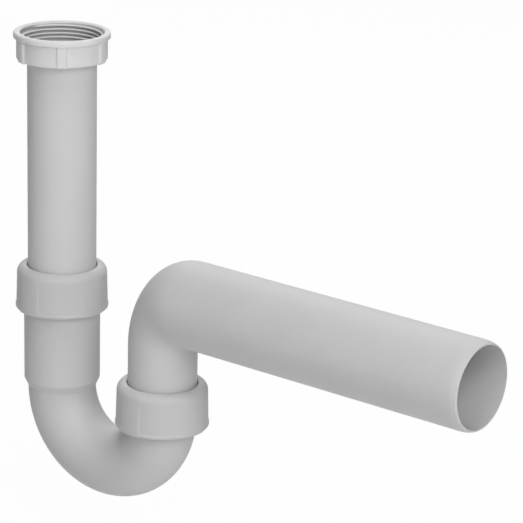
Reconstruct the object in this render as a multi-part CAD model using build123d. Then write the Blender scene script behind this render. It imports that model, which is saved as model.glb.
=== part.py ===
"""Tubular sink trap: a union nut, a tail pipe, a return bend and an outlet bend, joined by slip nuts.

Millimetres. The origin lies on the inlet's axis, on the face that a waste's threaded tail seals
against. +Z points up out of the inlet, and +X from the inlet leg towards the outlet.
"""
from build123d import *
from math import atan2, cos, hypot, pi, radians, sin, tan
import os

# Tubes: outside radius and wall.
small_tube_radius = 20.0
small_tube_wall = 1.9
large_tube_radius = 25.0
large_tube_wall = 1.9

# Places of the two legs, the return bend and the outlet.
leg_distance = 77.9
bend_centre_height = -202.4
outlet_rise = 72.1
outlet_reach = 217.8

# Clearances: between a shaft and its seal, round a loose ring, and round a pipe in a nut.
running_gap = 0.05
loose_gap = 0.3
pipe_gap = 0.4

# Sockets of the return bend, threaded outside for the slip nuts.
socket_wall = 2.02
socket_edge_wall = 0.7
thread_depth = 1.58
inlet_socket_rise = 69.2
inlet_socket_taper = 4.8
outlet_socket_rise = 15.2
outlet_socket_taper = 2.8

# Inlet union nut.
union_thread_depth = 11.4
union_lead_in = 0.7
union_wall = 2.2
union_foot_round = 1.2
union_lip_thickness = 1.5
union_rim_overhang = 1.7
union_rim_thickness = 3.3
union_rim_round = 1.3
union_rib_count = 6
union_rib_width = 5.5
union_rib_rise = 1.2
union_rib_angle = -48.1

# Gasket in the union nut, and the tail pipe that hangs in it by a collar.
gasket_thickness = 1.5
collar_thickness = 1.5
tail_pipe_insertion = 45.3
pipe_end_chamfer = 0.8

# Slip nuts, two alike.
slip_nut_height = 26.0
slip_nut_wall = 2.3
slip_nut_flare = 0.6
slip_nut_lip_rise = 0.4
slip_nut_lip_height = 2.4
slip_nut_top_thickness = 3.0
slip_nut_shoulder_round = 4.8
slip_nut_mouth_round = 1.0
slip_nut_lip_round = 1.1
slip_nut_lead_in = 1.2
grip_pad_count = 4
grip_pad_arc = 30.0
grip_pad_rise = 0.4
grip_pad_angle = -20.0
grip_pad_top_depth = 5.2
grip_pad_taper = 8.0

# Friction washer and wedge seal inside each slip nut.
washer_thickness = 1.0
seal_flange_thickness = 1.5
seal_wedge_length = 4.0
seal_wedge_angle = 15.0

# Outlet bend.
outlet_leg_insertion = 9.8
elbow_inner_round = 2.0
elbow_growth_power = 1.4
elbow_section_count = 5
outlet_chamfer_length = 3.2
outlet_chamfer_rounded_share = 0.95
outlet_edge_wall = 0.8
outlet_edge_rounded_share = 0.85

# Radii that follow from the driving dimensions.
small_bore_radius = small_tube_radius - small_tube_wall
large_bore_radius = large_tube_radius - large_tube_wall
bend_radius = leg_distance / 2
socket_bore_radius = small_tube_radius + loose_gap
thread_core_radius = socket_bore_radius + socket_wall
thread_major_radius = thread_core_radius + thread_depth
loose_ring_radius = thread_core_radius - loose_gap
pipe_hole_radius = small_tube_radius + pipe_gap
seal_bore_radius = small_tube_radius + running_gap

# Heights that follow from the driving dimensions.
collar_top = -gasket_thickness
collar_foot = collar_top - collar_thickness
inlet_socket_top = bend_centre_height + inlet_socket_rise
outlet_socket_top = bend_centre_height + outlet_socket_rise
tail_pipe_end = inlet_socket_top - tail_pipe_insertion
outlet_leg_end = outlet_socket_top - outlet_leg_insertion
outlet_axis_height = bend_centre_height + outlet_rise

# The pivot that the elbow's rings fan round, in the middle of its small inner round.
elbow_pivot_x = leg_distance + small_tube_radius + elbow_inner_round
elbow_pivot_height = outlet_axis_height - large_tube_radius - elbow_inner_round


def turned(*corners, x=0.0, start=0.0, arc=360.0):
    """A solid turned about the upright line at x, from corners of radius, height and optional round."""
    outline = make_face(Polyline(*[corner[:2] for corner in corners], close=True))
    for corner in corners:
        if len(corner) == 3:
            vertex = outline.vertices().sort_by_distance((corner[0], corner[1], 0))[0]
            outline = fillet(vertex, corner[2])
    solid = revolve(Plane.XZ * outline, Axis.Z, arc)
    return Pos(x, 0, 0) * Rot(0, 0, start) * solid


def ring(inner_radius, outer_radius, foot, top, x=0.0):
    """A plain flat ring."""
    return turned(
        (inner_radius, foot),
        (outer_radius, foot),
        (outer_radius, top),
        (inner_radius, top),
        x=x,
    )


def inlet_nut():
    """The union nut: a threaded cup with an inward lip, a rim at its mouth and ribs to grip."""
    lip_top = collar_foot - running_gap
    foot = lip_top - union_lip_thickness
    rim_foot = union_thread_depth - union_rim_thickness
    seat_radius = thread_core_radius + running_gap
    body_radius = thread_major_radius + union_wall
    rim_radius = body_radius + union_rim_overhang
    rib_radius = body_radius + union_rib_rise
    nut = turned(
        (pipe_hole_radius, foot),
        (body_radius, foot, union_foot_round),
        (body_radius, rim_foot),
        (rim_radius, rim_foot, union_rim_round / 2),
        (rim_radius, union_thread_depth, union_rim_round),
        (thread_major_radius + union_lead_in, union_thread_depth),
        (thread_major_radius, union_thread_depth - union_lead_in),
        (thread_major_radius, 0),
        (seat_radius, 0),
        (seat_radius, lip_top),
        (pipe_hole_radius, lip_top),
    )
    rib_ring = turned(
        (thread_major_radius, foot),
        (rib_radius, foot, union_foot_round),
        (rib_radius, rim_foot),
        (thread_major_radius, rim_foot),
    )
    height = 2 * (union_thread_depth - foot)
    slice_place = (Align.MIN, Align.CENTER, Align.CENTER)
    rib_slice = Box(rim_radius, union_rib_width, height, align=slice_place)
    for index in range(union_rib_count):
        turn = union_rib_angle + index * 360 / union_rib_count
        nut += rib_ring & (Rot(0, 0, turn) * rib_slice)
    return nut


def inlet_gasket():
    """The flat rubber ring that the waste's tail presses on the pipe's collar."""
    return ring(small_bore_radius, loose_ring_radius, collar_top, 0)


def tail_pipe():
    """The straight inlet pipe, with the collar that it hangs by and a chamfered lower end."""
    chamfered = small_tube_radius - pipe_end_chamfer
    return turned(
        (small_bore_radius, tail_pipe_end),
        (chamfered, tail_pipe_end),
        (small_tube_radius, tail_pipe_end + pipe_end_chamfer),
        (small_tube_radius, collar_foot),
        (loose_ring_radius, collar_foot),
        (loose_ring_radius, collar_top),
        (small_bore_radius, collar_top),
    )


def washer_foot(socket_top):
    """The height of a friction washer's lower face, above a socket with its mouth at socket_top."""
    return socket_top + seal_flange_thickness


def slip_nut(socket_top, x):
    """A slip nut: a threaded skirt under a rounded shoulder, with grip pads and a flared foot."""
    ceiling = washer_foot(socket_top) + washer_thickness
    top = ceiling + slip_nut_top_thickness
    foot = top - slip_nut_height
    lip_top = foot + slip_nut_lip_height
    shoulder_radius = thread_major_radius + slip_nut_wall
    foot_radius = shoulder_radius + slip_nut_flare
    lip_radius = foot_radius + slip_nut_lip_rise
    nut = turned(
        (pipe_hole_radius, ceiling),
        (pipe_hole_radius, top, slip_nut_mouth_round),
        (shoulder_radius, top, slip_nut_shoulder_round),
        (foot_radius, lip_top),
        (lip_radius, lip_top - slip_nut_lip_rise),
        (lip_radius, foot, slip_nut_lip_round),
        (thread_major_radius + slip_nut_lead_in, foot),
        (thread_major_radius, foot + slip_nut_lead_in),
        (thread_major_radius, ceiling),
        x=x,
    )
    pad_top = top - grip_pad_top_depth
    for index in range(grip_pad_count):
        nut += turned(
            (thread_major_radius, lip_top),
            (foot_radius + grip_pad_rise, lip_top),
            (shoulder_radius + grip_pad_rise, pad_top - grip_pad_taper),
            (shoulder_radius - grip_pad_rise, pad_top),
            (thread_major_radius, pad_top),
            x=x,
            start=grip_pad_angle + index * 360 / grip_pad_count,
            arc=grip_pad_arc,
        )
    return nut


def slip_washer(socket_top, x):
    """The hard ring that lets a slip nut turn without dragging its seal."""
    foot = washer_foot(socket_top)
    return ring(socket_bore_radius, loose_ring_radius, foot, foot + washer_thickness, x)


def wedge_seal(socket_top, x):
    """The rubber ring that the slip nut wedges between the pipe and the socket's mouth."""
    wedge_radius = thread_core_radius - socket_edge_wall - running_gap
    wedge_narrowing = seal_wedge_length * tan(radians(seal_wedge_angle))
    wedge_foot = socket_top - seal_wedge_length
    return turned(
        (seal_bore_radius, wedge_foot),
        (wedge_radius - wedge_narrowing, wedge_foot),
        (wedge_radius, socket_top),
        (loose_ring_radius, socket_top),
        (loose_ring_radius, washer_foot(socket_top)),
        (seal_bore_radius, washer_foot(socket_top)),
        x=x,
    )


def socket_outside(top, taper, x):
    """The outside of a socket, which narrows over taper to the bend's tube below its foot."""
    return turned(
        (0, bend_centre_height),
        (small_tube_radius, bend_centre_height),
        (thread_core_radius, bend_centre_height + taper),
        (thread_core_radius, top),
        (0, top),
        x=x,
    )


def socket_hollow(top, taper, x):
    """The hollow of a socket: a wedge mouth for the seal, the pipe's bore and the tube below it."""
    mouth_radius = thread_core_radius - socket_edge_wall
    mouth_depth = (mouth_radius - socket_bore_radius) / tan(radians(seal_wedge_angle))
    return turned(
        (0, bend_centre_height),
        (small_bore_radius, bend_centre_height),
        (small_bore_radius, bend_centre_height + taper),
        (socket_bore_radius, bend_centre_height + taper),
        (socket_bore_radius, top - mouth_depth),
        (mouth_radius, top),
        (0, top),
        x=x,
    )


def half_turn(radius):
    """A rod bent through half a turn, from the inlet leg down and up to the outlet leg."""
    centre_line = Axis((bend_radius, 0, bend_centre_height), (0, -1, 0))
    return revolve(Pos(0, 0, bend_centre_height) * Circle(radius), centre_line, 180)


def u_bend():
    """The return bend, which holds the water, with a socket for a pipe on each leg."""
    sockets = (
        (inlet_socket_top, inlet_socket_taper, 0.0),
        (outlet_socket_top, outlet_socket_taper, leg_distance),
    )
    outside = half_turn(small_tube_radius)
    hollow = half_turn(small_bore_radius)
    for top, taper, x in sockets:
        outside += socket_outside(top, taper, x)
        hollow += socket_hollow(top, taper, x)
    return outside - hollow


def elbow(inset):
    """The elbow's solid form: rings that fan round its inner corner and grow from the leg's size.

    The growth starts and ends softly, so that the elbow runs into both straight lengths without a crease.
    inset is taken off each ring's radius, so that the same fan also gives the hollow.
    """
    rings = []
    for index in range(elbow_section_count):
        share = index / (elbow_section_count - 1)
        angle = radians(90 * share)
        grown_share = (1 - cos(pi * share**elbow_growth_power)) / 2
        growth = (large_tube_radius - small_tube_radius) * grown_share
        radius = small_tube_radius + growth
        reach = radius + elbow_inner_round
        centre = (elbow_pivot_x - reach * cos(angle), 0, elbow_pivot_height + reach * sin(angle))
        inward = (cos(angle), 0, -sin(angle))
        onward = (sin(angle), 0, cos(angle))
        rings.append(Plane(centre, x_dir=inward, z_dir=onward) * Circle(radius - inset))
    return loft(rings)


def outlet_bend():
    """The outlet bend: a leg that plugs into the return bend, a growing elbow and a wide level pipe."""
    pipe_end = leg_distance + outlet_reach
    edge_radius = large_bore_radius + outlet_edge_wall
    chamfer_drop = large_tube_radius - edge_radius
    chamfer_slope = atan2(chamfer_drop, outlet_chamfer_length)
    edge_reach = outlet_edge_wall * outlet_edge_rounded_share
    edge_round = edge_reach / tan((pi / 2 - chamfer_slope) / 2)
    chamfer_reach = (hypot(chamfer_drop, outlet_chamfer_length) - edge_reach) * outlet_chamfer_rounded_share
    chamfer_round = chamfer_reach / tan(chamfer_slope / 2)
    outlet_axis = Pos(0, 0, outlet_axis_height) * Rot(0, 90, 0)
    leg = turned(
        (0, outlet_leg_end),
        (small_tube_radius - pipe_end_chamfer, outlet_leg_end),
        (small_tube_radius, outlet_leg_end + pipe_end_chamfer),
        (small_tube_radius, elbow_pivot_height),
        (0, elbow_pivot_height),
        x=leg_distance,
    )
    level = outlet_axis * turned(
        (0, elbow_pivot_x),
        (large_tube_radius, elbow_pivot_x),
        (large_tube_radius, pipe_end - outlet_chamfer_length, chamfer_round),
        (edge_radius, pipe_end, edge_round),
        (0, pipe_end),
    )
    leg_hollow = turned(
        (0, outlet_leg_end),
        (small_bore_radius, outlet_leg_end),
        (small_bore_radius, elbow_pivot_height),
        (0, elbow_pivot_height),
        x=leg_distance,
    )
    level_hollow = outlet_axis * turned(
        (0, elbow_pivot_x),
        (large_bore_radius, elbow_pivot_x),
        (large_bore_radius, pipe_end),
        (0, pipe_end),
    )
    outside = leg + elbow(0) + level
    return outside - leg_hollow - elbow(small_tube_wall) - level_hollow


pieces = {
    "inlet_nut": inlet_nut(),
    "inlet_gasket": inlet_gasket(),
    "tail_pipe": tail_pipe(),
    "upper_slip_nut": slip_nut(inlet_socket_top, 0.0),
    "upper_slip_washer": slip_washer(inlet_socket_top, 0.0),
    "upper_seal": wedge_seal(inlet_socket_top, 0.0),
    "u_bend": u_bend(),
    "lower_slip_nut": slip_nut(outlet_socket_top, leg_distance),
    "lower_slip_washer": slip_washer(outlet_socket_top, leg_distance),
    "lower_seal": wedge_seal(outlet_socket_top, leg_distance),
    "outlet_bend": outlet_bend(),
}

os.makedirs("parts", exist_ok=True)
for name, piece in pieces.items():
    export_step(piece, f"parts/{name}.step")
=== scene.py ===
"""Looks of a light grey plastic sink trap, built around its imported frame.

Sizes in the classes are millimetres in the part's frame: the origin is on the inlet's axis at the
gasket's face, +Z points up out of the inlet, and +X goes from the inlet leg towards the outlet.
"""
import logging
import math
from dataclasses import dataclass
from enum import Enum
from typing import Any, Optional, Union

import bmesh
import bpy
from mathutils import Euler, Matrix, Vector


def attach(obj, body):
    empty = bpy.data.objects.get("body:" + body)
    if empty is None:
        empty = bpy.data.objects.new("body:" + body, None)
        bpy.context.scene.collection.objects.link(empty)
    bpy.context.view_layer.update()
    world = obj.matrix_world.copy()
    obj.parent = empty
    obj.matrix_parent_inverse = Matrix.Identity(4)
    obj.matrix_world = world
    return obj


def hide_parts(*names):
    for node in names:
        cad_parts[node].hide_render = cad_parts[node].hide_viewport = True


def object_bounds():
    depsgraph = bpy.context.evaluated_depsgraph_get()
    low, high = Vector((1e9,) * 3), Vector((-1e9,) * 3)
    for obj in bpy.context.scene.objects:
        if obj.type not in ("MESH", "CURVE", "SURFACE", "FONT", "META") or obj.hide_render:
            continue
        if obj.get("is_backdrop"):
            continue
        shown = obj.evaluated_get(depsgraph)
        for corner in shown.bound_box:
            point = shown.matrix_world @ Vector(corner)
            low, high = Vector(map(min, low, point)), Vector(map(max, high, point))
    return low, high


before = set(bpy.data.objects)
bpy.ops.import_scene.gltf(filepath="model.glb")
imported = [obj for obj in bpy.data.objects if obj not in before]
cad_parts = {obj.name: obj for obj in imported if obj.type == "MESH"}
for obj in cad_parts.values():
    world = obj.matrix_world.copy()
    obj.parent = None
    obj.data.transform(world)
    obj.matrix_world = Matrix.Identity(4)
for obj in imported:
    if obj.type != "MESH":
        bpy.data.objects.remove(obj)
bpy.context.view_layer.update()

# Metres in a millimetre.
MM = 0.001
# The threads' pitch and the distance under which two points are one, in millimetres.
PITCH = 2.309
MERGE = 0.0002
# The largest turn of one step round a corner, in degrees.
ARC_STEP = 10.0
log = logging.getLogger("sink_trap")


class Slot(Enum):
    """The record's material slots that new pieces belong to."""

    NUT = "nut_plastic"
    BEND = "bend_plastic"


class Side(Enum):
    """Which way a thread's ridge stands out of its wall."""

    OUTWARD = 1.0
    INWARD = -1.0


class Link:
    """A node's output socket, on which Python's operators add Math nodes."""

    def __init__(self, maker: "NodeMaker", socket: Optional[bpy.types.NodeSocket]) -> None:
        """Keeps the tree's maker and the socket."""
        self.maker = maker
        self.socket = socket

    def of(self, name: str) -> "Link":
        """Another output of the same node."""
        return Link(self.maker, self.socket.node.outputs[name])

    def __add__(self, other: "Value") -> "Link":
        """The sum."""
        return self.maker.math("ADD", self, other)

    def __radd__(self, other: "Value") -> "Link":
        """The sum, from the right."""
        return self.maker.math("ADD", other, self)

    def __sub__(self, other: "Value") -> "Link":
        """The difference."""
        return self.maker.math("SUBTRACT", self, other)

    def __rsub__(self, other: "Value") -> "Link":
        """The difference, from the right."""
        return self.maker.math("SUBTRACT", other, self)

    def __mul__(self, other: "Value") -> "Link":
        """The product."""
        return self.maker.math("MULTIPLY", self, other)

    def __rmul__(self, other: "Value") -> "Link":
        """The product, from the right."""
        return self.maker.math("MULTIPLY", other, self)

    def __truediv__(self, other: "Value") -> "Link":
        """The quotient."""
        return self.maker.math("DIVIDE", self, other)

    def __rtruediv__(self, other: "Value") -> "Link":
        """The quotient, from the right."""
        return self.maker.math("DIVIDE", other, self)

    def __abs__(self) -> "Link":
        """The value without its sign."""
        return self.maker.math("ABSOLUTE", self)

    def least(self, other: "Value") -> "Link":
        """The smaller of the two."""
        return self.maker.math("MINIMUM", self, other)

    def most(self, other: "Value") -> "Link":
        """The larger of the two."""
        return self.maker.math("MAXIMUM", self, other)

    def above(self, limit: float) -> "Link":
        """1 where the value is above the limit, otherwise 0."""
        return self.maker.math("GREATER_THAN", self, limit)

    def share(self) -> "Link":
        """The value held between 0 and 1."""
        return self.most(0.0).least(1.0)

    def eased(self) -> "Link":
        """The value held between 0 and 1, with a soft start and end."""
        held = self.share()
        return held * held * (3.0 - 2.0 * held)


Value = Union[float, Link]


class NodeMaker:
    """Adds nodes to one tree, each from its type, its settings and what feeds its sockets."""

    def __init__(self, tree: bpy.types.NodeTree) -> None:
        """Clears the tree and keeps it."""
        self.tree = tree
        tree.nodes.clear()

    def add(
        self,
        kind: str,
        settings: Optional[dict[str, Any]] = None,
        feeds: Optional[dict[Union[str, int], Any]] = None,
    ) -> Link:
        """Adds any node.

        Args:
            kind: The node's type.
            settings: Its own settings, set first.
            feeds: For each input, by name or number, a value, a link or a list of links.

        Returns:
            The node's first output.
        """
        node = self.tree.nodes.new(kind)
        for name, value in (settings or {}).items():
            setattr(node, name, value)
        for name, value in (feeds or {}).items():
            for item in value if isinstance(value, list) else [value]:
                if isinstance(item, Link):
                    self.tree.links.new(item.socket, node.inputs[name])
                else:
                    node.inputs[name].default_value = item
        return Link(self, node.outputs[0] if len(node.outputs) else None)

    def math(self, operation: str, *values: Value) -> Link:
        """Adds a Math node."""
        return self.add("ShaderNodeMath", {"operation": operation}, dict(enumerate(values)))

    def noise(self, place: Link, size: float, detail: float) -> Link:
        """Adds a noise pattern.

        Args:
            place: The coordinates that it reads.
            size: About how wide its blobs are, in millimetres.
            detail: How many finer layers it has.

        Returns:
            The pattern, between 0 and 1.
        """
        feeds = {"Vector": place, "Scale": 1.0 / (size * MM), "Detail": detail}
        return self.add("ShaderNodeTexNoise", {"normalize": True}, feeds)


class Form(NodeMaker):
    """A Geometry Nodes tree with named inputs, which ends in Realize Instances and Set Material."""

    def __init__(self, name: str) -> None:
        """Makes the tree with a geometry input and output and a material input.

        Args:
            name: The tree's name.
        """
        super().__init__(bpy.data.node_groups.new(name, "GeometryNodeTree"))
        face = self.tree.interface
        face.new_socket("Geometry", in_out="INPUT", socket_type="NodeSocketGeometry")
        face.new_socket("Material", in_out="INPUT", socket_type="NodeSocketMaterial")
        face.new_socket("Geometry", in_out="OUTPUT", socket_type="NodeSocketGeometry")

    def declare(self, *names: str) -> dict[str, Link]:
        """Adds number inputs.

        Args:
            names: The inputs' names.

        Returns:
            The tree's inputs by name.
        """
        for name in names:
            self.tree.interface.new_socket(name, in_out="INPUT", socket_type="NodeSocketFloat")
        group = self.add("NodeGroupInput")
        return {name: group.of(name) for name in ("Geometry", "Material", *names)}

    def close(self, geometry: Link, material: Link) -> None:
        """Ends the tree.

        Args:
            geometry: What it has made.
            material: The material that it puts on that.
        """
        smooth = self.add("GeometryNodeSetShadeSmooth", None, {"Geometry": geometry})
        real = self.add("GeometryNodeRealizeInstances", None, {"Geometry": smooth})
        dressed = self.add("GeometryNodeSetMaterial", None, {"Geometry": real, "Material": material})
        self.add("NodeGroupOutput", None, {"Geometry": dressed})

    def put_on(self, piece: bpy.types.Object, values: dict[str, Any]) -> None:
        """Adds the tree to a piece as a modifier.

        Args:
            piece: The object that it shapes.
            values: The inputs' values by name.
        """
        modifier = piece.modifiers.new(self.tree.name, "NODES")
        modifier.node_group = self.tree
        for item in self.tree.interface.items_tree:
            if item.in_out == "INPUT" and item.name in values:
                modifier[item.identifier] = values[item.name]


def grip_form() -> Form:
    """The tree that raises evenly spaced grips on a turned body.

    Returns:
        The tree, whose sizes are in metres and radians.
    """
    form = Form("raised_grips")
    size = form.declare(
        "Count", "Middle", "Half width", "Edge", "Rise", "Limit", "Least radius", "Top", "Fade"
    )
    place = form.add("GeometryNodeInputPosition")
    x = form.add("ShaderNodeSeparateXYZ", None, {0: place})
    y, z = x.of("Y"), x.of("Z")
    radius = form.math("SQRT", x * x + y * y)
    half_spacing = math.pi / size["Count"]
    turn = form.math("ARCTAN2", y, x) - size["Middle"]
    away = abs(form.math("WRAP", turn, half_spacing, 0.0 - half_spacing))
    across = ((size["Half width"] + size["Edge"] - away) / size["Edge"]).share()
    up = ((size["Top"] - z) / size["Fade"]).share()
    outer = form.math("GREATER_THAN", radius, size["Least radius"])
    room = (size["Limit"] - radius).most(0.0)
    push = size["Rise"].least(room) * across * up * outer
    move = form.add("ShaderNodeCombineXYZ", None, {0: x / radius * push, 1: y / radius * push})
    moved = form.add("GeometryNodeSetPosition", None, {"Geometry": size["Geometry"], "Offset": move})
    form.close(moved, size["Material"])
    return form


def thread_form() -> Form:
    """The tree that winds a rounded helical ridge on a round wall.

    A grid is laid round the axis. Its columns follow the helix and its rows go round the ridge's
    section: the first and the last row meet at the section's lower buried corner, the last but one
    is its upper buried corner, and those between cross the ridge's face.

    Returns:
        The tree, whose sizes are in metres and radians.
    """
    form = Form("helical_thread")
    size = form.declare(
        "Side", "Wall radius", "Depth", "Root", "Half width", "Flat", "Pitch", "Top", "Top angle",
        "Turns", "Run out", "Steps",
    )
    last_row = 14
    upper_corner_row = last_row - 1
    face_rows = upper_corner_row - 1
    grid_size = {
        "Size X": 1.0,
        "Size Y": 1.0,
        "Vertices X": size["Steps"] * size["Turns"] + 1.0,
        "Vertices Y": last_row + 1,
    }
    grid = form.add("GeometryNodeMeshGrid", None, grid_size)
    place = form.add("GeometryNodeInputPosition")
    x = form.add("ShaderNodeSeparateXYZ", None, {0: place})
    along = x + 0.5
    row = (x.of("Y") + 0.5) * float(last_row)
    buried = (0.5 - row).above(0.0) + row.above(upper_corner_row - 0.5)
    face = (row - 1.0) / float(face_rows - 1) * 2.0 - 1.0
    across = face.most(-1.0).least(1.0) * (1.0 - 2.0 * row.above(last_row - 0.5))
    height = ((1.0 - abs(across)) / (1.0 - size["Flat"])).eased()
    ending = (along.least(1.0 - along) * size["Turns"] / size["Run out"]).eased()
    lift = (height * ending * size["Depth"] - buried * size["Root"]) * size["Side"]
    radius = size["Wall radius"] + lift
    turns_down = (1.0 - along) * size["Turns"]
    angle = size["Top angle"] - turns_down * math.tau
    half_width = size["Half width"] * ending * size["Side"]
    spot = {
        0: radius * form.math("COSINE", angle),
        1: radius * form.math("SINE", angle),
        2: size["Top"] - turns_down * size["Pitch"] + across * half_width,
    }
    where = form.add("ShaderNodeCombineXYZ", None, spot)
    wound = form.add("GeometryNodeSetPosition", None, {"Geometry": grid, "Position": where})
    merging = {"Geometry": wound, "Distance": MERGE * MM}
    closed = form.add("GeometryNodeMergeByDistance", None, merging)
    both = form.add("GeometryNodeJoinGeometry", None, {0: [size["Geometry"], closed]})
    form.close(both, size["Material"])
    return form


@dataclass(frozen=True)
class Corner:
    """One corner of a turned outline, in millimetres."""

    radius: float
    height: float
    round: float = 0.0

    @property
    def spot(self) -> Vector:
        """The corner's radius and height as a vector."""
        return Vector((self.radius, self.height))


def rounded(corners: list[Corner]) -> list[Vector]:
    """Rounds the corners of a closed outline.

    Args:
        corners: The corners, in order.

    Returns:
        Points of radius and height, in millimetres.
    """
    straight = math.radians(89)
    points: list[Vector] = []
    for index, corner in enumerate(corners):
        here = corner.spot
        back = (corners[index - 1].spot - here).normalized()
        onward = (corners[(index + 1) % len(corners)].spot - here).normalized()
        half = back.angle(onward) / 2
        if corner.round and half < straight:
            reach = corner.round / math.tan(half)
            centre = here + (back + onward).normalized() * corner.round / math.sin(half)
            spoke = here + back * reach - centre
            sweep = math.copysign(math.pi - 2 * half, back.cross(onward))
            steps = max(3, math.ceil(abs(sweep) / math.radians(ARC_STEP)))
            turns = [Matrix.Rotation(-sweep * step / steps, 2) for step in range(steps + 1)]
            spots = [centre + turn @ spoke for turn in turns]
        else:
            spots = [here]
        points += [spot for spot in spots if not points or (spot - points[-1]).length > MERGE]
    return points


def turned(name: str, corners: list[Corner], segments: int, start: float) -> bpy.types.Object:
    """Turns a closed outline about the upright axis.

    Args:
        name: The new object's name.
        corners: The outline's corners.
        segments: How many columns of faces go round.
        start: The first column's angle, in degrees.

    Returns:
        The closed shell, as an object at the origin.
    """
    outline = rounded(corners)
    work = bmesh.new()
    columns = []
    for step in range(segments):
        angle = math.radians(start) + math.tau * step / segments
        turn = Vector((math.cos(angle), math.sin(angle), 0.0))
        spots = [(turn * point.x + Vector((0, 0, point.y))) * MM for point in outline]
        columns.append([work.verts.new(spot) for spot in spots])
    for step, column in enumerate(columns):
        beside = columns[(step + 1) % segments]
        for row in range(len(outline)):
            above = (row + 1) % len(outline)
            work.faces.new((column[row], beside[row], beside[above], column[above]))
    bmesh.ops.recalc_face_normals(work, faces=work.faces)
    mesh = bpy.data.meshes.new(name)
    work.to_mesh(mesh)
    work.free()
    return add_object(name, mesh)


def add_object(name: str, mesh: bpy.types.Mesh) -> bpy.types.Object:
    """Puts a mesh in the scene as an object at the origin.

    Args:
        name: The new object's name.
        mesh: Its mesh.

    Returns:
        The object.
    """
    piece = bpy.data.objects.new(name, mesh)
    bpy.context.scene.collection.objects.link(piece)
    return piece


def settle(piece: bpy.types.Object, shift: Vector) -> None:
    """Turns what a piece's modifiers make into its plain mesh, and moves that mesh into place.

    Args:
        piece: The object, whose modifiers are removed.
        shift: Where its axis goes, in millimetres.
    """
    graph = bpy.context.evaluated_depsgraph_get()
    made = bpy.data.meshes.new_from_object(piece.evaluated_get(graph))
    piece.modifiers.clear()
    piece.data = made
    made.transform(Matrix.Translation(shift * MM))
    made.update()


@dataclass(frozen=True)
class PaintedThreadShade:
    """A painted shade: a deeper grey painted between the ridges of a thread that is open to view, in
    millimetres.
    """

    inner_radius: float
    outer_radius: float
    foot: float
    top: float
    share: float

    def paint_groove_shade(self, tree: NodeMaker, place: Link, tint: Link) -> Link:
        """Paints shade into a tint, darker towards the thread's root.

        Args:
            tree: The material's tree.
            place: The object coordinates, split into their parts.
            tint: What the material's colour is multiplied by.

        Returns:
            The tint with painted shade between the thread's ridges.
        """
        radius = tree.math("SQRT", place * place + place.of("Y") * place.of("Y")) / MM
        height = place.of("Z") / MM
        # Painted shade: the grey deepens from the crests towards the root, where the ridges shade the
        # wall.
        depth = (radius - self.inner_radius).eased() * (self.outer_radius - radius).above(0.0)
        inside = height.above(self.foot) * (self.top - height).above(0.0)
        return tint * (1.0 - depth * inside * self.share)


@dataclass(frozen=True)
class MouldedPlastic:
    """A satin moulded plastic with a fine grain, faint flow mottling, draw marks and, where given,
    painted shade in a thread.

    The grey is linear, the mottling is a share of it, and sizes and depths are in millimetres.
    """

    name: str
    grey: tuple[float, float, float]
    roughness: float = 0.62
    speck_roughness: float = 0.16
    draw_roughness: float = 0.10
    specular: float = 0.3
    mottling: float = 0.035
    speck_mottling: float = 0.0105
    flow_size: float = 22.0
    speck_size: float = 3.3
    grain_size: float = 0.55
    grain_depth: float = 0.016
    draw_size: float = 1.65
    draw_stretch: tuple[float, float, float] = (1.0, 1.0, 0.04)
    draw_depth: float = 0.01
    seam_half_width: float = 0.0
    seam_height: float = 0.05
    # Painted shade for the recesses of a thread that is open to view.
    thread: Optional[PaintedThreadShade] = None

    def make(self) -> bpy.types.Material:
        """Builds the material.

        Returns:
            The finished material.
        """
        material = bpy.data.materials.new(self.name)
        material.use_nodes = True
        tree = NodeMaker(material.node_tree)
        place = tree.add("ShaderNodeTexCoord").of("Object")
        stretched = tree.add("ShaderNodeMapping", None, {"Vector": place, "Scale": self.draw_stretch})
        flow = tree.noise(place, self.flow_size, detail=3.0) - 0.5
        speck = tree.noise(place, self.speck_size, detail=2.0) - 0.5
        grain = tree.noise(place, self.grain_size, detail=2.0)
        draw = tree.noise(stretched, self.draw_size, detail=1.0)
        x = tree.add("ShaderNodeSeparateXYZ", None, {0: place})
        tint = 1.0 + (flow * self.mottling + speck * self.speck_mottling) * 2.0
        # Painted shade between the thread's ridges goes into the colour.
        if self.thread:
            tint = self.thread.paint_groove_shade(tree, x, tint)
        shade = {channel: tint * grey for channel, grey in enumerate(self.grey)}
        relief = grain * self.grain_depth + draw * self.draw_depth
        if self.seam_half_width:
            seam = (1.0 - abs(x.of("Y")) / (self.seam_half_width * MM)).eased()
            relief = relief + seam * self.seam_height
        rough = self.roughness + speck * self.speck_roughness + (draw - 0.5) * self.draw_roughness
        bump = {"Height": relief, "Distance": MM, "Strength": 1.0}
        surface = {
            "Base Color": tree.add("ShaderNodeCombineColor", None, shade),
            "Roughness": rough,
            "Normal": tree.add("ShaderNodeBump", None, bump),
            "Specular IOR Level": self.specular,
        }
        plastic = tree.add("ShaderNodeBsdfPrincipled", None, surface)
        tree.add("ShaderNodeOutputMaterial", None, {"Surface": plastic})
        return material


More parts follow.
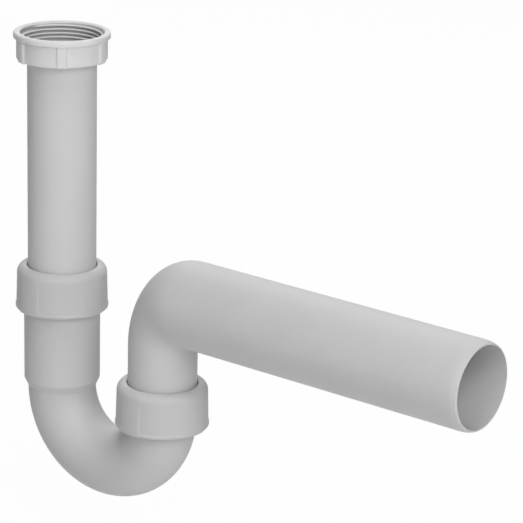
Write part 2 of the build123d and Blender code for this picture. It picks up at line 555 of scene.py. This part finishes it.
@dataclass(frozen=True)
class SealRubber:
    """A black rubber with a dusting of powder and a fine pitted skin."""

    name: str
    black: float = 0.035
    dust: float = 0.05
    dust_size: float = 6.0
    dust_floor: float = 0.45
    dust_contrast: float = 4.0
    roughness: float = 0.62
    dust_roughness: float = 0.22
    pit_size: float = 0.4
    pit_depth: float = 0.03

    def make(self) -> bpy.types.Material:
        """Builds the material.

        Returns:
            The finished material.
        """
        material = bpy.data.materials.new(self.name)
        material.use_nodes = True
        tree = NodeMaker(material.node_tree)
        place = tree.add("ShaderNodeTexCoord").of("Object")
        cloud = tree.noise(place, self.dust_size, detail=4.0)
        pits = tree.noise(place, self.pit_size, detail=1.0)
        powder = ((cloud - self.dust_floor) * self.dust_contrast).eased()
        tone = self.black + powder * self.dust
        bump = {"Height": pits, "Distance": self.pit_depth * MM, "Strength": 1.0}
        surface = {
            "Base Color": tree.add("ShaderNodeCombineColor", None, {0: tone, 1: tone, 2: tone}),
            "Roughness": self.roughness + powder * self.dust_roughness,
            "Normal": tree.add("ShaderNodeBump", None, bump),
        }
        rubber = tree.add("ShaderNodeBsdfPrincipled", None, surface)
        tree.add("ShaderNodeOutputMaterial", None, {"Surface": rubber})
        return material


@dataclass
class Forms:
    """The two trees that several pieces share."""

    grips: Form
    thread: Form


@dataclass
class Piece:
    """A finished object with what it belongs to in the frame."""

    item: bpy.types.Object
    body: str
    slot: Slot
    replaced: tuple[str, ...] = ()

    def hand_over(self) -> None:
        """Ties the object to its body and the nodes that it stands for."""
        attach(self.item, self.body)
        if self.replaced:
            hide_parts(*self.replaced)


@dataclass
class Grips:
    """Evenly spaced grips on a nut's outer wall, in millimetres.

    The middle of the first, the half width and the edge are angles in degrees. No grip comes out
    past the limit, and nothing inside the least radius moves.
    """

    count: int
    middle: float
    half_width: float
    edge: float
    rise: float
    limit: float
    least_radius: float
    top: float
    fade: float

    def raise_on(self, piece: bpy.types.Object, form: Form, finish: bpy.types.Material) -> None:
        """Raises the grips on a piece by the grip tree.

        Args:
            piece: The turned body, whose axis is the upright line through the origin.
            form: The grip tree.
            finish: The piece's material.
        """
        values = {
            "Material": finish,
            "Count": float(self.count),
            "Middle": math.radians(self.middle),
            "Half width": math.radians(self.half_width),
            "Edge": math.radians(self.edge),
            "Rise": self.rise * MM,
            "Limit": self.limit * MM,
            "Least radius": self.least_radius * MM,
            "Top": self.top * MM,
            "Fade": self.fade * MM,
        }
        form.put_on(piece, values)


@dataclass
class Thread:
    """A helical ridge on one round wall, in millimetres.

    The top angle is in degrees, the run-out in turns, and the flat is the share of the half width
    that the crest takes.
    """

    side: Side
    wall: float
    depth: float
    top: float
    top_angle: float
    turns: float
    half_width: float = 0.92
    flat: float = 0.12
    run_out: float = 0.14
    root: float = 0.25
    steps_a_turn: int = 120

    def wind_on(self, piece: bpy.types.Object, form: Form, finish: bpy.types.Material) -> None:
        """Winds the ridge on a piece by the thread tree.

        Args:
            piece: The object whose axis is the upright line through the origin.
            form: The thread tree.
            finish: The piece's material.
        """
        values = {
            "Material": finish,
            "Side": self.side.value,
            "Wall radius": self.wall * MM,
            "Depth": self.depth * MM,
            "Root": self.root * MM,
            "Half width": self.half_width * MM,
            "Flat": self.flat,
            "Pitch": PITCH * MM,
            "Top": self.top * MM,
            "Top angle": math.radians(self.top_angle),
            "Turns": self.turns,
            "Run out": self.run_out,
            "Steps": float(self.steps_a_turn),
        }
        form.put_on(piece, values)


@dataclass
class UnionNut:
    """The ribbed nut at the top, with the waste's thread inside.

    The ribs' middle, half width and edge are angles in degrees, as is the thread's angle. The
    thread's flat is a share of its half width, and its run-out is in turns.
    """

    hole: float = 20.4
    foot: float = -4.55
    lip_top: float = -3.05
    seat: float = 22.37
    root: float = 23.9
    mouth: float = 24.6
    lead_in: float = 0.7
    body: float = 26.1
    rim: float = 27.8
    rim_foot: float = 8.1
    top: float = 11.4
    hole_foot_round: float = 0.3
    foot_round: float = 1.2
    neck_round: float = 0.25
    rim_foot_round: float = 0.4
    rim_top_round: float = 1.25
    mouth_round: float = 0.3
    bore_round: float = 0.2
    lip_round: float = 0.15
    hole_top_round: float = 0.25
    rib_count: int = 6
    rib_middle: float = -48.1
    rib_half_width: float = 5.4
    rib_edge: float = 1.2
    rib_rise: float = 1.2
    rib_overlap: float = 1.0
    rib_fade: float = 0.4
    rib_slack: float = 0.05
    thread_depth: float = 1.48
    thread_half_width: float = 0.98
    thread_flat: float = 0.2
    thread_top: float = 9.65
    thread_turns: float = 3.65
    thread_run_out: float = 0.05
    thread_angle: float = 182.0

    def outline(self) -> list[Corner]:
        """Lists the corners of the nut's turned body.

        Returns:
            The corners, from the hole outwards and back.
        """
        return [
            Corner(self.hole, self.foot, self.hole_foot_round),
            Corner(self.body, self.foot, self.foot_round),
            Corner(self.body, self.rim_foot, self.neck_round),
            Corner(self.rim, self.rim_foot, self.rim_foot_round),
            Corner(self.rim, self.top, self.rim_top_round),
            Corner(self.mouth, self.top, self.mouth_round),
            Corner(self.root, self.top - self.lead_in, self.bore_round),
            Corner(self.root, 0.0, self.bore_round),
            Corner(self.seat, 0.0, self.bore_round),
            Corner(self.seat, self.lip_top, self.lip_round),
            Corner(self.hole, self.lip_top, self.hole_top_round),
        ]

    def ribs(self) -> Grips:
        """Sets out the ribs, which run up into the rim's foot.

        Returns:
            The ribs.
        """
        return Grips(
            self.rib_count, self.rib_middle, self.rib_half_width, self.rib_edge, self.rib_rise,
            limit=self.body + self.rib_rise,
            least_radius=self.body - self.foot_round - self.rib_slack,
            top=self.rim_foot + self.rib_overlap,
            fade=self.rib_fade,
        )

    def thread(self) -> Thread:
        """Sets out the thread that the waste's tail screws into.

        Returns:
            The thread.
        """
        return Thread(
            Side.INWARD, self.root, self.thread_depth, self.thread_top, self.thread_angle,
            self.thread_turns, self.thread_half_width, self.thread_flat, self.thread_run_out,
        )

    def build(self, forms: Forms, finish: bpy.types.Material) -> list[Piece]:
        """Builds the nut, raises its ribs and winds its thread.

        Args:
            forms: The shared trees.
            finish: The nut's material.

        Returns:
            The nut.
        """
        segments = round(360 / self.rib_edge)
        first = self.rib_middle - self.rib_half_width
        nut = turned("union_nut", self.outline(), segments, first)
        self.ribs().raise_on(nut, forms.grips, finish)
        self.thread().wind_on(nut, forms.thread, finish)
        settle(nut, Vector())
        return [Piece(nut, "inlet_nut", Slot.NUT, ("inlet_nut",))]


@dataclass
class SlipNut:
    """One of the two slip nuts, with the threaded socket that it screws on.

    The pads' middle, half width and edge are angles in degrees. The slacks keep two rounds of the
    wall and the pads' inner limit clear of each other.
    """

    level: str
    axis_x: float
    socket_top: float
    socket_turns: float
    hole: float = 20.4
    shoulder: float = 26.2
    flare: float = 0.6
    lip_rise: float = 0.4
    lip_height: float = 2.4
    height: float = 26.0
    top_thickness: float = 3.0
    ceiling_rise: float = 2.5
    root: float = 23.9
    lead_in: float = 1.2
    hole_round: float = 1.0
    shoulder_round: float = 4.8
    round_slack: float = 0.01
    lip_edge_round: float = 0.2
    lip_foot_round: float = 1.1
    lead_in_round: float = 0.25
    root_round: float = 0.2
    ceiling_round: float = 0.3
    pad_count: int = 4
    pad_middle: float = -5.0
    pad_half_width: float = 15.0
    pad_edge: float = 1.5
    pad_depth: float = 5.2
    pad_taper: float = 8.0
    pad_slack: float = 0.5
    pad_rows: int = 3
    core: float = 22.32
    ridge: float = 1.38
    ridge_start: float = 1.7
    ridge_clearance: float = 0.03
    nut_ridge_start: float = 1.6
    nut_ridge_end: float = 0.9

    @property
    def ceiling(self) -> float:
        """The height of the nut's inner top."""
        return self.socket_top + self.ceiling_rise

    @property
    def top(self) -> float:
        """The height of the nut's outer top."""
        return self.ceiling + self.top_thickness

    @property
    def lip(self) -> float:
        """The radius of the lip at the nut's foot, which the pads come out to."""
        return self.shoulder + self.flare + self.lip_rise

    def outline(self) -> list[Corner]:
        """Lists the corners of the nut's turned body.

        Returns:
            The corners, from the hole outwards and back.
        """
        foot = self.top - self.height
        lip_top = foot + self.lip_height
        slope = self.flare / (self.top - lip_top)
        wall = [Corner(self.shoulder + slope * (self.top - z), z) for z in self.wall_heights()]
        return [
            Corner(self.hole, self.ceiling, self.ceiling_round),
            Corner(self.hole, self.top, self.hole_round),
            Corner(self.shoulder, self.top, self.shoulder_round - self.round_slack),
            *wall,
            Corner(self.shoulder + self.flare, lip_top, self.lip_edge_round),
            Corner(self.lip, lip_top - self.lip_rise, self.lip_edge_round),
            Corner(self.lip, foot, self.lip_foot_round),
            Corner(self.root + self.lead_in, foot, self.lead_in_round),
            Corner(self.root, foot + self.lead_in, self.root_round),
            Corner(self.root, self.ceiling, self.ceiling_round),
        ]

    def wall_heights(self) -> list[float]:
        """Spaces the wall's rows over which the pads come out, with one more below them.

        Returns:
            The rows' heights, from the top down.
        """
        start = self.top - self.pad_depth
        return [start - self.pad_taper * step / self.pad_rows for step in range(self.pad_rows + 2)]

    def pads(self) -> Grips:
        """Sets out the pads, which fade out upwards and stand as far out as the lip.

        Returns:
            The pads.
        """
        return Grips(
            self.pad_count, self.pad_middle, self.pad_half_width, self.pad_edge, self.lip_rise,
            limit=self.lip,
            least_radius=self.shoulder - self.pad_slack,
            top=self.top - self.pad_depth,
            fade=self.pad_taper,
        )

    def threads(self) -> tuple[Thread, Thread]:
        """Sets out both threads, whose ridges lie half a pitch apart.

        Returns:
            The nut's thread and the socket's.
        """
        socket_start = self.socket_top - self.ridge_start
        nut_start = self.ceiling - self.nut_ridge_start
        angle = 360 * ((nut_start - socket_start) / PITCH - 0.5)
        length = (
            self.height - self.top_thickness - self.nut_ridge_start - self.lead_in
            - self.nut_ridge_end
        )
        depth = self.ridge - self.ridge_clearance
        inside = Thread(Side.INWARD, self.root, depth, nut_start, angle, length / PITCH)
        outside = Thread(
            Side.OUTWARD, self.core, self.ridge, socket_start, 0.0, self.socket_turns
        )
        return inside, outside

    def build(
        self, forms: Forms, finish: bpy.types.Material, bend: bpy.types.Material
    ) -> list[Piece]:
        """Builds the nut with its pads and thread, and the socket's thread.

        Args:
            forms: The shared trees.
            finish: The nut's material.
            bend: The return bend's material.

        Returns:
            The nut and the socket's thread.
        """
        shift = Vector((self.axis_x, 0.0, 0.0))
        inside, outside = self.threads()
        name = f"{self.level}_slip_nut"
        segments = round(360 / self.pad_edge)
        first = self.pad_middle - self.pad_half_width
        nut = turned(f"{name}_body", self.outline(), segments, first)
        self.pads().raise_on(nut, forms.grips, finish)
        inside.wind_on(nut, forms.thread, finish)
        settle(nut, shift)
        ridge = add_object(f"{self.level}_socket_thread", bpy.data.meshes.new("socket_thread"))
        outside.wind_on(ridge, forms.thread, bend)
        settle(ridge, shift)
        return [Piece(nut, name, Slot.NUT, (name,)), Piece(ridge, "u_bend", Slot.BEND)]


@dataclass
class Pipework:
    """The pipes, bends, rings and seals whose solids are shown as they are."""

    finishes: dict[str, bpy.types.Material]

    def dress(self) -> list[str]:
        """Gives each of these nodes its finish.

        Returns:
            The nodes' names.
        """
        for name, finish in self.finishes.items():
            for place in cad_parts[name].material_slots:
                place.material = finish
        return list(self.finishes)


@dataclass(frozen=True)
class SoftBox:
    """A square studio lamp that faces the object.

    It hangs at an azimuth and an elevation in degrees and at a distance in metres.
    """

    name: str
    azimuth: float
    elevation: float
    distance: float
    width: float
    power: float

    def hang(self, centre: Vector) -> None:
        """Hangs the lamp.

        Args:
            centre: The point that it faces, in metres.
        """
        turn, tilt = math.radians(self.azimuth), math.radians(self.elevation)
        back = Vector(
            (math.sin(turn) * math.cos(tilt), -math.cos(turn) * math.cos(tilt), math.sin(tilt))
        )
        lamp = bpy.data.lights.new(self.name, "AREA")
        lamp.shape = "SQUARE"
        lamp.size = self.width
        lamp.energy = self.power
        holder = bpy.data.objects.new(self.name, lamp)
        holder.location = centre + back * self.distance
        holder.rotation_euler = back.to_track_quat("Z", "Y").to_euler()
        bpy.context.scene.collection.objects.link(holder)


@dataclass
class Studio:
    """The camera, lamps, floor and world."""

    lamps: tuple[SoftBox, ...] = (
        SoftBox("front_lamp", 56.0, 33.0, 1.6, 1.0, 14.2),
        SoftBox("high_lamp", 15.0, 76.0, 1.6, 0.7, 8.4),
        SoftBox("low_lamp", 15.0, 15.0, 1.6, 0.6, 2.0),
        SoftBox("side_lamp", 88.0, 6.0, 1.6, 0.6, 1.0),
        SoftBox("back_lamp", 218.0, 38.0, 1.8, 1.0, 12.5),
    )
    camera_place: tuple[float, float, float] = (1003.19, -1096.03, 363.14)
    camera_turn: tuple[float, float, float] = (71.799, -1.322, 38.401)
    camera_reach: tuple[float, float] = (0.05, 30.0)
    lens: float = 183.53
    floor_gap: float = 45.0
    floor_half: float = 4.0
    floor_grey: float = 0.9
    floor_glow: float = 0.97
    ambient: float = 0.04
    white: float = 1.0

    def build(self) -> None:
        """Builds the whole studio."""
        low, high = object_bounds()
        for lamp in self.lamps:
            lamp.hang((low + high) / 2)
        self.set_camera()
        self.lay_floor(low.z - self.floor_gap * MM)
        self.set_world()
        bpy.context.scene.view_settings.view_transform = "Standard"

    def set_camera(self) -> None:
        """Places the camera at the photograph's angle."""
        camera = bpy.data.cameras.new("camera")
        camera.lens = self.lens
        camera.clip_start, camera.clip_end = self.camera_reach
        holder = bpy.data.objects.new("camera", camera)
        holder.location = Vector(self.camera_place) * MM
        holder.rotation_euler = Euler([math.radians(turn) for turn in self.camera_turn])
        bpy.context.scene.collection.objects.link(holder)
        bpy.context.scene.camera = holder

    def lay_floor(self, height: float) -> None:
        """Lays a pale floor that looks white to the camera and keeps a little of the shadow.

        Args:
            height: Its height in metres.
        """
        half = self.floor_half
        mesh = bpy.data.meshes.new("floor")
        corners = [(-half, -half), (half, -half), (half, half), (-half, half)]
        mesh.from_pydata([(x, y, height) for x, y in corners], [], [(0, 1, 2, 3)])
        floor = add_object("floor", mesh)
        material = bpy.data.materials.new("floor_paint")
        material.use_nodes = True
        tree = NodeMaker(material.node_tree)
        paint = tree.add("ShaderNodeBsdfDiffuse", None, {"Color": (*[self.floor_grey] * 3, 1.0)})
        glow = tree.add("ShaderNodeEmission", None, {"Strength": self.white})
        shown = {0: self.seen(tree) * self.floor_glow, 1: paint, 2: glow}
        mixed = tree.add("ShaderNodeMixShader", None, shown)
        tree.add("ShaderNodeOutputMaterial", None, {"Surface": mixed})
        mesh.materials.append(material)
        floor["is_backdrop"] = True

    def set_world(self) -> None:
        """Sets a soft ambient light whose background is white to the camera."""
        world = bpy.data.worlds.new("studio")
        world.use_nodes = True
        bpy.context.scene.world = world
        tree = NodeMaker(world.node_tree)
        strength = self.ambient + self.seen(tree) * (self.white - self.ambient)
        light = {"Color": (1.0, 1.0, 1.0, 1.0), "Strength": strength}
        sky = tree.add("ShaderNodeBackground", None, light)
        tree.add("ShaderNodeOutputWorld", None, {"Surface": sky})

    @staticmethod
    def seen(tree: NodeMaker) -> Link:
        """Finds the rays that show a surface, also by a reflection or through glass.

        Args:
            tree: The material's or the world's tree.

        Returns:
            1 for such a ray, otherwise 0.
        """
        ray = tree.add("ShaderNodeLightPath")
        glossy, through = ray.of("Is Glossy Ray"), ray.of("Is Transmission Ray")
        return ray.of("Is Camera Ray").most(glossy).most(through)


def main() -> None:
    """Builds and dresses every piece in order, and reports each."""
    logging.basicConfig(level=logging.INFO, format="%(name)s: %(message)s")
    # Painted shade that deepens the grey between the ridges of the union nut's open thread.
    painted_groove_shade = PaintedThreadShade(inner_radius=22.7, outer_radius=24.3, foot=0.2, top=10.4, share=0.4)
    union = MouldedPlastic("union_nut_moulding", (0.72, 0.72, 0.72), thread=painted_groove_shade).make()
    nut = MouldedPlastic("slip_nut_moulding", (0.57, 0.57, 0.57)).make()
    pipe = MouldedPlastic("pipe_moulding", (0.64, 0.64, 0.64)).make()
    bend = MouldedPlastic("bend_moulding", (0.60, 0.60, 0.60), seam_half_width=0.25).make()
    ring = MouldedPlastic("ring_moulding", (0.78, 0.78, 0.76), roughness=0.35).make()
    rubber = SealRubber("seal_rubber").make()
    forms = Forms(grip_form(), thread_form())
    upper = SlipNut(level="upper", axis_x=0.0, socket_top=-133.2, socket_turns=7.3)
    lower = SlipNut(level="lower", axis_x=77.9, socket_top=-187.2, socket_turns=4.2)
    pieces = [
        *UnionNut().build(forms, union),
        *upper.build(forms, nut, bend),
        *lower.build(forms, nut, bend),
    ]
    for piece in pieces:
        piece.hand_over()
        faces = len(piece.item.data.polygons)
        log.info("%s rides on %s with %d faces", piece.item.name, piece.body, faces)
    finishes = {
        "tail_pipe": pipe,
        "u_bend": bend,
        "outlet_bend": bend,
        "upper_slip_washer": ring,
        "lower_slip_washer": ring,
        "inlet_gasket": rubber,
        "upper_seal": rubber,
        "lower_seal": rubber,
    }
    for name in Pipework(finishes).dress():
        log.info("%s is dressed in %s", name, finishes[name].name)
    Studio().build()


if __name__ == "__main__":
    main()
